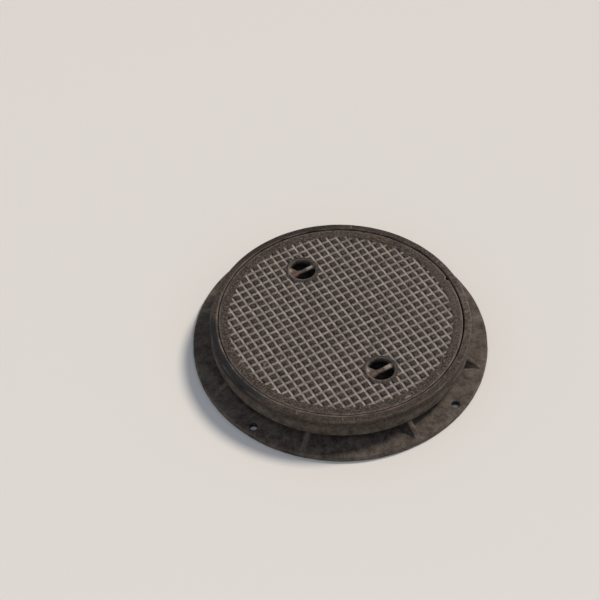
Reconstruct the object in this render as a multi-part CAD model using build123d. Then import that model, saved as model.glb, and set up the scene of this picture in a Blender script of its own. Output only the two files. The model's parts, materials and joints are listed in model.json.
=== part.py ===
from build123d import *
import math
import os

# A round cast-iron manhole cover in its frame, sizes in mm.
# Origin: centre of the frame's underside. +Z up. +Y runs from the centre to the lifting pocket "a",
# and the grooves of the tread run along X and Y, one of each through the centre.

# ---- tread of the cover -------------------------------------------------------------------------
GROOVE_PITCH = 24.0       # spacing of the grooves, the same along X and Y
GROOVE_WIDTH = 8.4
GROOVE_DEPTH = 3.5
TREAD_R = 302.0           # the grooves stop at this circle
LAND_WIDTH = 10.6         # plain land round each lifting pocket

# ---- cover casting ------------------------------------------------------------------------------
CLEAR_OPENING_R = 305.0   # the way through the frame, 24 in across
SEAT_WIDTH = 25.0         # ledge that carries the cover
COVER_GAP = 3.0           # radial gap between cover and frame
COVER_SET_DOWN = 1.0      # cover's top below the frame's top
RIM_THICK = 38.0          # cover's thickness where it is seated
RIM_WIDTH = 44.0          # full-thickness ring round the cover
PLATE_THICK = 20.0
EDGE_ROUND = 2.5          # rounded top edge of the cover
NICK_R = 5.0              # pry nick in the cover's edge
NICK_DEPTH = 14.0
NICK_ANGLE = -4.5         # degrees from +X

# ---- underside of the cover -----------------------------------------------------------------------
WEB_CLEARANCE = 8.0       # between the hanging web and the clear opening
WEB_THICK = 14.0
WEB_DEPTH = 34.0          # below the plate
STIFFENER_OFFSET = 110.0  # of the two stiffeners along X and the two along Y, from the centre
STIFFENER_THICK = 12.0
STIFFENER_DEPTH = 26.0    # below the plate

# ---- lifting pockets ------------------------------------------------------------------------------
POCKET_OFFSET = 204.0     # from the cover's centre, along Y
POCKET_R = 35.0
BAR_R = 8.5
BAR_BELOW_TOP = 1.5       # bar's top below the cover's top
BAR_EMBED = 13.0          # length of the bar inside the casting at each end
PAD_MARGIN = 4.0          # pad under the plate, beyond the edge of the cup's flange
PAD_THICK = 6.0
SEAL_THICK = 2.0
FLANGE_MARGIN = 8.5       # cup's flange beyond the circle of its screws
CUP_FLANGE_THICK = 5.0
CUP_WALL = 4.0
CUP_DEPTH = 38.0          # from the flange's top down to the cup's underside
CUP_CORNER_R = 6.0
SCREW_R = 4.0
SCREW_SETBACK = 8.5       # from the cup's wall to the circle of its screws
SCREW_COUNT = 4
SCREW_ENGAGED = 15.0      # length of the screw inside the casting
SCREW_END_GAP = 2.0       # beyond the screw's end in its hole
SCREW_CLEARANCE = 0.5     # radial, where it passes the seal and the flange
SCREW_THREAD_GAP = 0.05   # radial, in the casting
HEAD_R = 7.0              # corner radius of the hexagon head
HEAD_THICK = 5.5

# ---- cushion ring ---------------------------------------------------------------------------------
CUSHION_THICK = 3.0
CUSHION_EDGE_GAP = 2.0    # from each edge of the seat

# ---- frame casting --------------------------------------------------------------------------------
FRAME_HEIGHT = 102.0
TOP_WALL = 20.0           # wall round the cover, seen from above as the outer ring
LEDGE_THICK = 18.0
BARREL_WALL = 20.0        # wall under the ledge
UNDERCUT_RISE = 10.0      # height of the slope under the ledge
FLANGE_R = 400.0
FLANGE_THICK = 16.0
FRAME_ROUND = 3.0         # rounded top edges
ANCHOR_COUNT = 4
ANCHOR_CIRCLE_R = 376.0
ANCHOR_HOLE_R = 11.0
ANCHOR_FIRST_ANGLE = 22.5
GUSSET_COUNT = 8
GUSSET_THICK = 14.0
GUSSET_TOE = 12.0         # from the gusset's foot to the flange's edge

# ---- heights and radii that follow ------------------------------------------------------------------
FRAME_TOP = FRAME_HEIGHT
COVER_TOP = FRAME_TOP - COVER_SET_DOWN
PLATE_UNDER = COVER_TOP - PLATE_THICK
RIM_UNDER = COVER_TOP - RIM_THICK
SEAT_Z = RIM_UNDER - CUSHION_THICK
RECESS_R = CLEAR_OPENING_R + SEAT_WIDTH
COVER_R = RECESS_R - COVER_GAP
FRAME_R = RECESS_R + TOP_WALL
BARREL_R = CLEAR_OPENING_R + BARREL_WALL
WEB_R = CLEAR_OPENING_R - WEB_CLEARANCE
WEB_INNER_R = WEB_R - WEB_THICK
LAND_R = POCKET_R + LAND_WIDTH
SCREW_CIRCLE_R = POCKET_R + CUP_WALL + SCREW_SETBACK
CUP_FLANGE_R = SCREW_CIRCLE_R + FLANGE_MARGIN
PAD_R = CUP_FLANGE_R + PAD_MARGIN
PAD_UNDER = PLATE_UNDER - PAD_THICK
CUP_TOP = PAD_UNDER - SEAL_THICK
CUP_UNDER = CUP_TOP - CUP_DEPTH
BAR_Z = COVER_TOP - BAR_BELOW_TOP - BAR_R
POCKETS = {"a": POCKET_OFFSET, "b": -POCKET_OFFSET}


def disc(radius, z_low, z_high, x=0.0, y=0.0):
    """A solid cylinder between two heights."""
    return Pos(x, y, z_low) * extrude(Circle(radius), z_high - z_low)


def ring(outer, inner, z_low, z_high, x=0.0, y=0.0):
    """A tube between two heights."""
    return Pos(x, y, z_low) * extrude(Circle(outer) - Circle(inner), z_high - z_low)


def revolved(points, rounds=None):
    """A body turned about Z from (radius, height) points, with rounded corners near given points."""
    face = make_face(Polyline(*[(r, z) for r, z in points], close=True))
    for point, radius in rounds or []:
        corner = sorted(face.vertices(), key=lambda v: (v.center() - Vector(*point, 0)).length)[0]
        face = fillet(corner, radius)
    return revolve(Plane.XZ * face, Axis.Z)


def screw_places(y):
    """The four screws of one cup, set diagonally so that they miss the bar."""
    for i in range(SCREW_COUNT):
        angle = math.radians(360 / SCREW_COUNT * (i + 0.5))
        yield SCREW_CIRCLE_R * math.cos(angle), y + SCREW_CIRCLE_R * math.sin(angle)


def tread_grooves():
    """Grooves both ways, inside the tread circle and clear of the pockets' lands."""
    lines = int(TREAD_R // GROOVE_PITCH)
    grid = Sketch()
    for k in range(-lines, lines + 1):
        grid += Pos(k * GROOVE_PITCH, 0) * Rectangle(GROOVE_WIDTH, 2 * TREAD_R)
        grid += Pos(0, k * GROOVE_PITCH) * Rectangle(2 * TREAD_R, GROOVE_WIDTH)
    grid &= Circle(TREAD_R)
    for y in POCKETS.values():
        grid -= Pos(0, y) * Circle(LAND_R)
    return Pos(0, 0, COVER_TOP - GROOVE_DEPTH) * extrude(grid, GROOVE_DEPTH)


def cover_casting():
    """Plate with a thick rim, a hanging web, crossed stiffeners, two pockets and a grooved tread."""
    rim_inner = COVER_R - RIM_WIDTH
    body = revolved(
        [(0, PLATE_UNDER), (rim_inner, PLATE_UNDER), (rim_inner, RIM_UNDER), (COVER_R, RIM_UNDER),
         (COVER_R, COVER_TOP), (0, COVER_TOP)],
        [((COVER_R, COVER_TOP), EDGE_ROUND), ((COVER_R, RIM_UNDER), EDGE_ROUND)])
    body += ring(WEB_R, WEB_INNER_R, PLATE_UNDER - WEB_DEPTH, PLATE_UNDER)
    web_middle = WEB_INNER_R + WEB_THICK / 2
    length = 2 * math.sqrt(web_middle ** 2 - STIFFENER_OFFSET ** 2)
    stiffener = Box(length, STIFFENER_THICK, STIFFENER_DEPTH)
    for i in range(4):
        body += Rot(0, 0, 90 * i) * Pos(0, STIFFENER_OFFSET, PLATE_UNDER - STIFFENER_DEPTH / 2) * stiffener
    for y in POCKETS.values():
        body += disc(PAD_R, PAD_UNDER, PLATE_UNDER, 0, y)
        body -= disc(POCKET_R, PAD_UNDER, COVER_TOP, 0, y)
        body -= lifting_bar(y)
        for x, sy in screw_places(y):
            body -= disc(SCREW_R + SCREW_THREAD_GAP, PAD_UNDER, PAD_UNDER + SCREW_ENGAGED + SCREW_END_GAP, x, sy)
    body -= tread_grooves()
    nick = Pos(COVER_R, 0, 0) * disc(NICK_R, COVER_TOP - NICK_DEPTH, COVER_TOP)
    return body - Rot(0, 0, NICK_ANGLE) * nick


def lifting_bar(y):
    """Round bar across a pocket, its ends cast into the pocket's walls."""
    length = 2 * (POCKET_R + BAR_EMBED)
    return Pos(0, y, BAR_Z) * Rot(0, 90, 0) * Cylinder(BAR_R, length)


def pocket_cup(y):
    """Pressed cup that closes a pocket from below, with a flat flange and four screw holes."""
    outer = POCKET_R + CUP_WALL
    flange_under = CUP_TOP - CUP_FLANGE_THICK
    floor_top = CUP_UNDER + CUP_WALL
    cup = revolved(
        [(0, CUP_UNDER), (outer, CUP_UNDER), (outer, flange_under), (CUP_FLANGE_R, flange_under),
         (CUP_FLANGE_R, CUP_TOP), (POCKET_R, CUP_TOP), (POCKET_R, floor_top), (0, floor_top)],
        [((outer, CUP_UNDER), CUP_CORNER_R), ((POCKET_R, floor_top), CUP_CORNER_R - CUP_WALL)])
    cup = Pos(0, y, 0) * cup
    for x, sy in screw_places(y):
        cup -= disc(SCREW_R + SCREW_CLEARANCE, flange_under, CUP_TOP, x, sy)
    return cup


def cup_seal(y):
    """Flat rubber ring between a cup and the pad."""
    seal = ring(CUP_FLANGE_R, POCKET_R, CUP_TOP, PAD_UNDER, 0, y)
    for x, sy in screw_places(y):
        seal -= disc(SCREW_R + SCREW_CLEARANCE, CUP_TOP, PAD_UNDER, x, sy)
    return seal


def cup_screws(y):
    """Hexagon screws, head down, that hold one cup."""
    flange_under = CUP_TOP - CUP_FLANGE_THICK
    screws = []
    for x, sy in screw_places(y):
        head = Pos(x, sy, flange_under - HEAD_THICK) * extrude(RegularPolygon(HEAD_R, 6), HEAD_THICK)
        screws.append(head + disc(SCREW_R, flange_under, PAD_UNDER + SCREW_ENGAGED, x, sy))
    return Compound(children=screws)


def cushion_ring():
    """Loose rubber ring on the seat, under the cover's rim."""
    return ring(RECESS_R - CUSHION_EDGE_GAP, CLEAR_OPENING_R + CUSHION_EDGE_GAP, SEAT_Z, RIM_UNDER)


def gusset():
    """Upright triangle between the flange and the barrel, along +X."""
    ledge_under = SEAT_Z - LEDGE_THICK
    barrel_mid = BARREL_R - BARREL_WALL / 2
    top_r = FRAME_R - FRAME_ROUND
    profile = Polyline(
        (barrel_mid, FLANGE_THICK), (FLANGE_R - GUSSET_TOE, FLANGE_THICK), (top_r, ledge_under),
        (barrel_mid, ledge_under), close=True)
    return extrude(Plane.XZ * make_face(profile), GUSSET_THICK / 2, both=True)


def frame_casting():
    """Ring with a recess and a ledge for the cover, a barrel, a base flange, gussets and anchor holes."""
    ledge_under = SEAT_Z - LEDGE_THICK
    body = revolved(
        [(CLEAR_OPENING_R, 0), (FLANGE_R, 0), (FLANGE_R, FLANGE_THICK), (BARREL_R, FLANGE_THICK),
         (BARREL_R, ledge_under - UNDERCUT_RISE), (FRAME_R, ledge_under), (FRAME_R, FRAME_TOP),
         (RECESS_R, FRAME_TOP), (RECESS_R, SEAT_Z), (CLEAR_OPENING_R, SEAT_Z)],
        [((FRAME_R, FRAME_TOP), FRAME_ROUND), ((RECESS_R, FRAME_TOP), FRAME_ROUND / 2),
         ((FLANGE_R, FLANGE_THICK), FRAME_ROUND)])
    for i in range(GUSSET_COUNT):
        body += Rot(0, 0, 360 / GUSSET_COUNT * i) * gusset()
    for i in range(ANCHOR_COUNT):
        turn = Rot(0, 0, ANCHOR_FIRST_ANGLE + 360 / ANCHOR_COUNT * i)
        body -= turn * disc(ANCHOR_HOLE_R, 0, FLANGE_THICK, ANCHOR_CIRCLE_R, 0)
    return body


nodes = {"frame": frame_casting(), "cushion_ring": cushion_ring(), "cover": cover_casting()}
for name, place in POCKETS.items():
    nodes["lifting_bar_" + name] = lifting_bar(place)
    nodes["pocket_cup_" + name] = pocket_cup(place)
    nodes["cup_seal_" + name] = cup_seal(place)
    nodes["cup_screws_" + name] = cup_screws(place)

os.makedirs("parts", exist_ok=True)
for name, shape in nodes.items():
    export_step(shape, f"parts/{name}.step")
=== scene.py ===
import json
import math

import bpy
import numpy as np
from mathutils import Matrix, Vector
from mathutils.geometry import delaunay_2d_cdt


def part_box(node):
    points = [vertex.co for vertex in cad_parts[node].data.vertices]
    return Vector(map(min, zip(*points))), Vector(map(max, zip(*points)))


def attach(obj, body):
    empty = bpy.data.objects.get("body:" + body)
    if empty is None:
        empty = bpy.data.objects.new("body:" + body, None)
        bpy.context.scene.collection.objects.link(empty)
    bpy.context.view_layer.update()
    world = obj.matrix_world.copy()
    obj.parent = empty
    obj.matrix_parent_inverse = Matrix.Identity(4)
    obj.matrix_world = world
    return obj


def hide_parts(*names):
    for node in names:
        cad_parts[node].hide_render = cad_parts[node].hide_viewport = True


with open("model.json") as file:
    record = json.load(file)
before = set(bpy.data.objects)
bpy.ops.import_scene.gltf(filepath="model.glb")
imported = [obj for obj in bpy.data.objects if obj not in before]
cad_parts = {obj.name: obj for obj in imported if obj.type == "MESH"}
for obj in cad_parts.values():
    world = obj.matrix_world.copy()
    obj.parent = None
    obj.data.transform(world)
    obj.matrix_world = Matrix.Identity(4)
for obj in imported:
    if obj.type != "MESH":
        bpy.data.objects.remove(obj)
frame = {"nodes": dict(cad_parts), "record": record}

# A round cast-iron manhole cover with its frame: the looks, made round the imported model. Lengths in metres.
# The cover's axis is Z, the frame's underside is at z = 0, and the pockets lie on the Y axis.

MM = 0.001
TURN = 2 * math.pi
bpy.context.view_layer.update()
rng = np.random.default_rng(41)

# ---- camera ---------------------------------------------------------------------------------------
CAMERA_PLACE = (-1.383, -2.242, 3.134)
CAMERA_HEADING = 29.322   # degrees from +Y towards +X
CAMERA_DOWN = 48.361
CAMERA_ROLL = -0.749
CAMERA_LENS = 90.0        # mm, on the usual 36 mm sensor


def camera_turn(heading, down, roll):
    """Columns are the picture's right, its up, and the way back from the picture to the eye."""
    h, d, r = (math.radians(a) for a in (heading, down, roll))
    forward = Vector((math.sin(h) * math.cos(d), math.cos(h) * math.cos(d), -math.sin(d)))
    level = Vector((math.cos(h), -math.sin(h), 0))
    upright = level.cross(forward)
    right = level * math.cos(r) + upright * math.sin(r)
    up = upright * math.cos(r) - level * math.sin(r)
    return Matrix((right, up, -forward)).transposed()


def add_camera():
    data = bpy.data.cameras.new("camera")
    data.lens = CAMERA_LENS
    camera = bpy.data.objects.new("camera", data)
    turn = camera_turn(CAMERA_HEADING, CAMERA_DOWN, CAMERA_ROLL).to_4x4()
    camera.matrix_world = Matrix.Translation(CAMERA_PLACE) @ turn
    bpy.context.collection.objects.link(camera)
    bpy.context.scene.camera = camera


add_camera()

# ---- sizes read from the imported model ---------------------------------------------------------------
cover_low, cover_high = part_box("cover")
frame_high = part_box("frame")[1]
cushion_low, cushion_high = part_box("cushion_ring")
bar_low, bar_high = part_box("lifting_bar_a")
cup_low, cup_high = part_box("pocket_cup_a")
anchor = next(m for m in frame["record"]["mounts"] if m["name"] == "anchor_bolts")

COVER_R = cover_high[0]
COVER_TOP = cover_high[2]
WEB_UNDER = cover_low[2]
RIM_UNDER = cushion_high[2]
SEAT_Z = cushion_low[2]
FRAME_TOP = frame_high[2]
FLANGE_R = frame_high[0]
POCKET_Y = (bar_low[1] + bar_high[1]) / 2
BAR_R = (bar_high[2] - bar_low[2]) / 2
BAR_Z = (bar_high[2] + bar_low[2]) / 2
BAR_HALF = bar_high[0]
CUP_FLANGE_R = cup_high[0]
CUP_TOP = cup_high[2]
CUP_UNDER = cup_low[2]
ANCHOR_R = anchor["dims"]["pcd_mm"] / 2 * MM
ANCHOR_HOLE_R = anchor["dims"]["hole_r_mm"] * MM

# ---- sizes that the boxes don't give ----------------------------------------------------------------
GROOVE_PITCH = 24 * MM
GROOVE_DEPTH = 3.9 * MM
TREAD_R = 302 * MM
LAND_R = 45.6 * MM
POCKET_R = 35 * MM
PAD_R = 60 * MM
PLATE_THICK = 20 * MM
PAD_THICK = 6 * MM
WEB_R = 297 * MM
WEB_THICK = 14 * MM
STIFFENER_OFFSET = 110 * MM
STIFFENER_HALF = 6 * MM
STIFFENER_DEPTH = 26 * MM
NICK_ANGLE = math.radians(-4.5)
NICK_HALF = 9 * MM
NICK_IN = 6 * MM
NICK_DEPTH = 14 * MM
CLEAR_R = 305 * MM
RECESS_R = 330 * MM
FRAME_R = 350 * MM
BARREL_R = 325 * MM
LEDGE_THICK = 18 * MM
UNDERCUT_RISE = 10 * MM
FLANGE_THICK = 16 * MM
GUSSET_COUNT = 8
GUSSET_HALF = 7 * MM
GUSSET_FOOT_R = 388 * MM
ANCHOR_FIRST = math.radians(22.5)
PLATE_UNDER = COVER_TOP - PLATE_THICK
PAD_UNDER = PLATE_UNDER - PAD_THICK
POCKETS = {"a": POCKET_Y, "b": -POCKET_Y}
ROUND_STEPS = 512         # points round a large circle
HOLE_STEPS = 96           # points round a pocket
CUP_STEPS = 72            # round a cup
ANCHOR_STEPS = 32         # round an anchor hole
FLOOR_STEPS = 128         # round the studio floor

# A flat face ends at the chords of a ring of points. These shares of the ring's radius lie between the chords
# and the middles of the nearest triangles within.
LARGE_RING_CHORD = 0.99997
HOLE_CHORD = 0.999
ANCHOR_CHORD = 0.991


# ---- building meshes --------------------------------------------------------------------------------
def smooth(t):
    """Eases 0..1 with level ends: three t squared minus two t cubed."""
    t = np.clip(t, 0, 1)
    return t * t * (3 - 2 * t)


def patch(points, faces, **marks):
    """One part of a mesh: points (n, 3), a list of face arrays, and named values, one for each point."""
    return {"points": points, "faces": [np.asarray(f) for f in faces], "marks": marks}


def grid_faces(rows, columns, wrap):
    """Quads between neighbouring rows and columns of points, wrapped round the columns if asked."""
    index = np.arange(rows * columns).reshape(rows, columns)
    if wrap:
        index = np.concatenate([index, index[:, :1]], 1)
    a, b = index[:-1, :-1], index[:-1, 1:]
    c, d = index[1:, 1:], index[1:, :-1]
    return np.stack([a, b, c, d], -1).reshape(-1, 4)


def turned(profile, angles, centre=(0, 0), backwards=False):
    """
    Carries a profile of (radius, height) rows round the Z axis: x = r cos a, y = r sin a, z = h. Its faces
    look to the right of the way that the profile runs, or to the left if it runs backwards.
    """
    radius, height = np.asarray(profile, float).T
    r, a = np.meshgrid(radius, angles, indexing="ij")
    z = np.repeat(height[:, None], len(angles), 1)
    points = np.stack([centre[0] + r * np.cos(a), centre[1] + r * np.sin(a), z], -1).reshape(-1, 3)
    faces = grid_faces(len(radius), len(angles), True)
    return points, faces[:, ::-1] if backwards else faces


def end_caps(rings, count):
    """A face over the first ring of a grid of points, which looks back, and one over the last."""
    cap = np.arange(count)[None, :]
    return [cap[:, ::-1], cap + (rings - 1) * count]


def round_corner(start, corner, end, steps=4):
    """Points of a soft corner: a quadratic curve from start to end that is pulled towards the corner."""
    t = np.linspace(0, 1, steps + 1)[:, None]
    a, b, c = (np.asarray(p, float) for p in (start, corner, end))
    return [tuple(p) for p in (1 - t) ** 2 * a + 2 * t * (1 - t) * b + t ** 2 * c]


def loop_edges(first, count):
    """Index pairs that join count points, numbered from first, in a closed loop."""
    index = first + np.arange(count)
    return np.stack([index, np.roll(index, -1)], 1)


def even_angles(count):
    return np.linspace(0, TURN, count, endpoint=False)


def circle_points(radius, angles, centre=(0, 0)):
    """x and y of points on a circle: the centre plus radius times cosine and sine."""
    return np.stack([centre[0] + radius * np.cos(angles), centre[1] + radius * np.sin(angles)], 1)


def filled_between(flat, edges, keep, height, up=True):
    """Triangles that fill a flat area between closed outlines; keep tells for each centre if it is iron."""
    result = delaunay_2d_cdt([tuple(p) for p in flat], edges.tolist(), [], 0, 1e-9)
    points, triangles = np.asarray(flat), np.array(result[2])
    if len(result[0]) != len(points):
        raise ValueError("the outlines cross or share a point")
    corners = points[triangles]
    triangles = triangles[keep(corners.mean(1))]
    corners = points[triangles]
    u, v = corners[:, 1] - corners[:, 0], corners[:, 2] - corners[:, 0]
    turned_back = (u[:, 0] * v[:, 1] - u[:, 1] * v[:, 0] > 0) != up
    triangles[turned_back] = triangles[turned_back][:, ::-1]
    return np.column_stack([points, np.full(len(points), height)]), triangles


WELD = 1e-7               # points closer than about this are one


def joined(patches):
    """All patches as one, with points at the same place made one point."""
    names = sorted({name for p in patches for name in p["marks"]})
    points = np.concatenate([p["points"] for p in patches])
    marks = {}
    for name in names:
        values = [p["marks"].get(name, np.zeros(len(p["points"]))) for p in patches]
        marks[name] = np.concatenate(values)
    _, first, place = np.unique(
        np.round(points / WELD).astype(np.int64), axis=0, return_index=True, return_inverse=True)
    place = place.reshape(-1)
    faces, offset = [], 0
    for p in patches:
        faces += [place[f + offset] for f in p["faces"]]
        offset += len(p["points"])
    return patch(points[first], faces, **{name: value[first] for name, value in marks.items()})


def add_piece(name, whole, material, body, nodes=(), crease=35):
    """Puts a patch into a mesh object that rides on a body and stands for CAD nodes."""
    mesh = bpy.data.meshes.new(name)
    sizes = np.concatenate([np.full(len(f), f.shape[1]) for f in whole["faces"]])
    corners = np.concatenate([f.reshape(-1) for f in whole["faces"]])
    used, corners = np.unique(corners, return_inverse=True)
    mesh.vertices.add(len(used))
    mesh.vertices.foreach_set("co", whole["points"][used].astype(np.float32).reshape(-1))
    mesh.loops.add(len(corners))
    mesh.loops.foreach_set("vertex_index", corners.reshape(-1).astype(np.int32))
    mesh.polygons.add(len(sizes))
    starts = np.concatenate([[0], np.cumsum(sizes)[:-1]])
    mesh.polygons.foreach_set("loop_start", starts.astype(np.int32))
    mesh.update(calc_edges=True)
    mesh.validate()
    for mark, values in whole["marks"].items():
        layer = mesh.attributes.new(mark, "FLOAT", "POINT")
        layer.data.foreach_set("value", values[used].astype(np.float32))
    mesh.polygons.foreach_set("use_smooth", np.ones(len(mesh.polygons), bool))
    mesh.set_sharp_from_angle(angle=math.radians(crease))
    mesh.materials.append(material)
    piece = bpy.data.objects.new(name, mesh)
    bpy.context.collection.objects.link(piece)
    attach(piece, body)
    if nodes:
        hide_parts(*nodes)
    return piece


def waves(seed, count, shortest, longest):
    """A smooth random height over x and y: the mean of plane waves, about -1 to 1."""
    dice = np.random.default_rng(seed)
    length = np.exp(dice.uniform(math.log(shortest), math.log(longest), count))
    heading, start = dice.uniform(0, TURN, (2, count))

    def height(x, y):
        along = x[..., None] * np.cos(heading) + y[..., None] * np.sin(heading)
        return np.sin(along * TURN / length + start).mean(-1) * math.sqrt(count / 2)

    return height


def dents(points, centres, sizes, depths):
    """Sum of round hollows, each depth times exp(-(distance / size) squared)."""
    total = np.zeros(len(points))
    for part in np.array_split(np.arange(len(centres)), max(1, len(centres) // 24)):
        gap = points[:, None, :] - centres[None, part]
        total += (depths[part] * np.exp(-(gap ** 2).sum(-1) / sizes[part] ** 2)).sum(1)
    return total


# ---- materials --------------------------------------------------------------------------------------
EASED = {"interpolation_type": "SMOOTHSTEP"}
MULTIPLY = {"operation": "MULTIPLY"}
FRAME_SCRATCH_ANGLES = (7, 54, 220, 240, 303)
FRAME_SCRATCH_R_MM = 341


def linear(colour):
    """An sRGB hex colour as linear red, green, blue and 1."""
    parts = [int(colour[i:i + 2], 16) / 255 for i in (1, 3, 5)]
    return [c / 12.92 if c <= 0.04045 else ((c + 0.055) / 1.055) ** 2.4 for c in parts] + [1.0]


def node(tree, kind, settings=None, inputs=None):
    """Adds a node. Settings are its own properties, and inputs are values, or sockets to link from."""
    made = tree.nodes.new(kind)
    for key, value in (settings or {}).items():
        setattr(made, key, value)
    for key, value in (inputs or {}).items():
        if isinstance(value, bpy.types.NodeSocket):
            tree.links.new(value, made.inputs[key])
        else:
            made.inputs[key].default_value = value
    return made


def begin_material(name):
    material = bpy.data.materials.new(name)
    material.use_nodes = True
    material.node_tree.nodes.clear()
    return material, material.node_tree


def finish_material(tree, inputs):
    """Ends a material with its shader, whose inputs are given, and the output."""
    shader = node(tree, "ShaderNodeBsdfPrincipled", inputs=inputs).outputs[0]
    node(tree, "ShaderNodeOutputMaterial", inputs={"Surface": shader})


def levels(value, low, high, least=0.0, most=1.0):
    """Inputs for a node that maps low..high to least..most and stops there."""
    return {"Value": value, "From Min": low, "From Max": high, "To Min": least, "To Max": most}


def speckle(tree, size_mm, detail=5.0, rough=0.7):
    """Noise with features of about this many millimetres, on the piece's own coordinates."""
    place = node(tree, "ShaderNodeTexCoord").outputs["Object"]
    return node(tree, "ShaderNodeTexNoise", inputs={
        "Vector": place, "Scale": 1000 / size_mm, "Detail": detail, "Roughness": rough}).outputs["Fac"]


def mottle(tree, size_mm, low, high, least=0.0, most=1.0, detail=5.0, rough=0.7):
    """Soft patches of about this many millimetres, where the noise rises from its low to its high level."""
    noise = speckle(tree, size_mm, detail, rough)
    return node(tree, "ShaderNodeMapRange", EASED, levels(noise, low, high, least, most)).outputs["Result"]


def streak(tree, place_mm, heading, size_mm, full=None, most=1.0):
    """
    A soft ellipse on the top face: a scratch, a dab, a stain or a patch of painted shade. It grows evenly
    from its edge to 1 at its middle or, if full is given, eases to most at that share of the way.
    """
    place = node(tree, "ShaderNodeTexCoord").outputs["Object"]
    x, y, length, width = (value * MM for value in (*place_mm, *size_mm))
    local = node(tree, "ShaderNodeMapping", {"vector_type": "TEXTURE"}, {
        "Vector": place, "Location": (x, y, COVER_TOP),
        "Rotation": (0, 0, math.radians(heading)),
        "Scale": (length / 2, width / 2, 30 * MM)}).outputs[0]
    round_fade = {"gradient_type": "SPHERICAL"}
    even = node(tree, "ShaderNodeTexGradient", round_fade, {"Vector": local}).outputs["Fac"]
    if full is None:
        return even
    return node(tree, "ShaderNodeMapRange", EASED, levels(even, 0.0, full, 0.0, most)).outputs["Result"]


def laid_over(tree, skin, colour, *amounts):
    """
    Lays a colour over a skin as thickly as the product of the amounts says. Each colour is a hex value or a
    socket, and each amount is a value, a socket or the name of a mark that the mesh holds at each point.
    """
    thickness = None
    for amount in amounts:
        if isinstance(amount, str):
            amount = node(tree, "ShaderNodeAttribute", {"attribute_name": amount}).outputs["Fac"]
        if thickness is not None:
            amount = node(tree, "ShaderNodeMath", MULTIPLY, {0: thickness, 1: amount}).outputs[0]
        thickness = amount
    under, over = (linear(c) if isinstance(c, str) else c for c in (skin, colour))
    return node(tree, "ShaderNodeMix", {"data_type": "RGBA"}, {0: thickness, 6: under, 7: over}).outputs[2]


def worn(tree, skin, colour, broken, scratches=()):
    """Lays a colour over a skin where the mesh is marked, for worn edges and for painted highlights on the
    pockets' walls and the bars, and along scratches, in broken patches.
    """
    wear = node(tree, "ShaderNodeAttribute", {"attribute_name": "wear"}).outputs["Fac"]
    for scratch in scratches:
        wear = node(tree, "ShaderNodeMath", {"operation": "MAXIMUM"}, {0: wear, 1: scratch}).outputs[0]
    return laid_over(tree, skin, colour, wear, broken)


def bumps(tree, *layers):
    """Relief of noise layers, each (height, distance in mm, strength), from the coarsest to the finest."""
    normal = None
    for height, distance, strength in layers:
        inputs = {"Height": height, "Distance": distance * MM, "Strength": strength}
        if normal is not None:
            inputs["Normal"] = normal
        normal = node(tree, "ShaderNodeBump", inputs=inputs).outputs[0]
    return normal


def sand_cast_relief(tree, strength):
    """Sand-cast skin: pits and bumps of the moulding sand over a slow unevenness."""
    sand = speckle(tree, 1.6, 4.0, 0.65)
    lumps = speckle(tree, 9.0, 2.0, 0.6)
    return bumps(tree, (lumps, 0.9, strength), (sand, 0.55, strength))


def street_iron():
    """Sand-cast grey iron of the cover: dark brown patina, pale grit in the grooves, thinned as painted
    shadow on one side, edges worn light, painted highlights on the pockets' walls, and a navy dark for a
    darker tone on the pads and painted shade deep in the pockets.
    """
    material, tree = begin_material("street_iron_sand_cast")
    blotches = mottle(tree, 7.0, 0.36, 0.66, rough=0.75)
    skin = laid_over(tree, "#0c0907", "#3f342e", blotches)
    skin = laid_over(tree, skin, "#3a312b", mottle(tree, 70.0, 0.38, 0.62, detail=3.0, rough=0.6), 0.35)
    skin = laid_over(tree, skin, "#786b61", mottle(tree, 3.4, 0.51, 0.61, most=0.75, detail=2.0, rough=0.8))
    skin = laid_over(tree, skin, "#46291d", mottle(tree, 26.0, 0.56, 0.72, most=0.6))
    for place, heading, size, tone in (((226, 170), 50, (130, 90), "#4b3f28"),
                                       ((-66, 262), 0, (90, 60), "#4a3d26"),
                                       ((-60, -250), 0, (120, 70), "#4b2f24"),
                                       ((330, -170), -60, (760, 420), "#5b5047")):
        skin = laid_over(tree, skin, tone, streak(tree, place, heading, size), blotches)
    scratches = [streak(tree, place, heading, size, full=0.5) for place, heading, size in (
        ((-305, 0), 30, (44, 3.4)), ((-254, -40), 32, (26, 4)), ((11, -317), 2, (26, 8)),
        ((-296, 22), 62, (20, 3)), ((120, -292), 75, (18, 3)))]
    broken = mottle(tree, 4.0, 0.30, 0.62, least=0.25, detail=4.0)
    skin = worn(tree, skin, "#8d827a", broken, scratches)
    # A navy dark where the mesh is marked: a darker tone on the pad tops and round the pockets, and painted
    # shade deep in the pockets and under the cover.
    skin = laid_over(tree, skin, "#10151a", "damp")
    grit = laid_over(tree, "#857d78", "#b3aca6", mottle(tree, 14.0, 0.34, 0.66))
    skin = laid_over(tree, skin, grit, "grit", mottle(tree, 2.6, 0.22, 0.55, least=0.6, detail=4.0))
    dull = node(tree, "ShaderNodeMapRange", EASED, levels(blotches, 0.0, 1.0, 0.62, 0.82)).outputs["Result"]
    finish_material(tree, {"Base Color": skin, "Roughness": dull, "Specular IOR Level": 0.3,
                           "Normal": sand_cast_relief(tree, 0.7)})
    return material


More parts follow.
